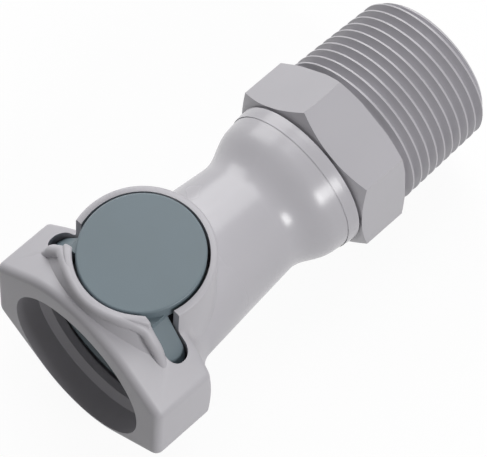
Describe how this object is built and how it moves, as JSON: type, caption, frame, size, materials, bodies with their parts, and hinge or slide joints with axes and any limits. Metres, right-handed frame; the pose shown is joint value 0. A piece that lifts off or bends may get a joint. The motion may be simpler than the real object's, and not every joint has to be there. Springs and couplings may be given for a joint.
{
  "type": "quick disconnect coupling",
  "caption": "Moulded plastic quick disconnect coupling body with a thumb latch, an inner shutoff valve, a wrench hexagon and a tapered male pipe thread",
  "frame": {"origin": "centre of the mouth, on the axis of the bore at the front face", "axes": "+X along the axis from the mouth to the pipe thread, +Z towards the thumb button, +Y completes a right-handed frame"},
  "size_m": [0.0772, 0.0352, 0.0355],
  "materials": {
    "body_grey": "semi-gloss moulded polypropylene",
    "adapter_grey": "semi-gloss moulded polypropylene",
    "latch_slate": "satin moulded acetal",
    "spring_steel": "drawn stainless wire",
    "poppet_grey": "matt moulded acetal",
    "seal_rubber": "matt moulded rubber"
  },
  "bodies": {
    "coupling_body": {"front_body": "body_grey", "threaded_adapter": "adapter_grey", "adapter_seal": "seal_rubber", "latch_spring_left": "spring_steel", "latch_spring_right": "spring_steel", "valve_spring": "spring_steel"},
    "latch": {"thumb_latch": "latch_slate"},
    "valve": {"valve_poppet": "poppet_grey", "valve_seal": "seal_rubber"}
  },
  "joints": [
    {"name": "latch_press", "type": "slide", "parent": "coupling_body", "child": "latch", "axis": [0, 0, -1], "range_m": [0, 0.0018], "stiffness_N_per_m": 1200, "springref_m": -0.002, "deforming": ["latch_spring_left", "latch_spring_right"]},
    {"name": "valve_open", "type": "slide", "parent": "coupling_body", "child": "valve", "axis": [1, 0, 0], "range_m": [0, 0.0044], "stiffness_N_per_m": 900, "springref_m": -0.003, "deforming": ["valve_spring"]}
  ]
}
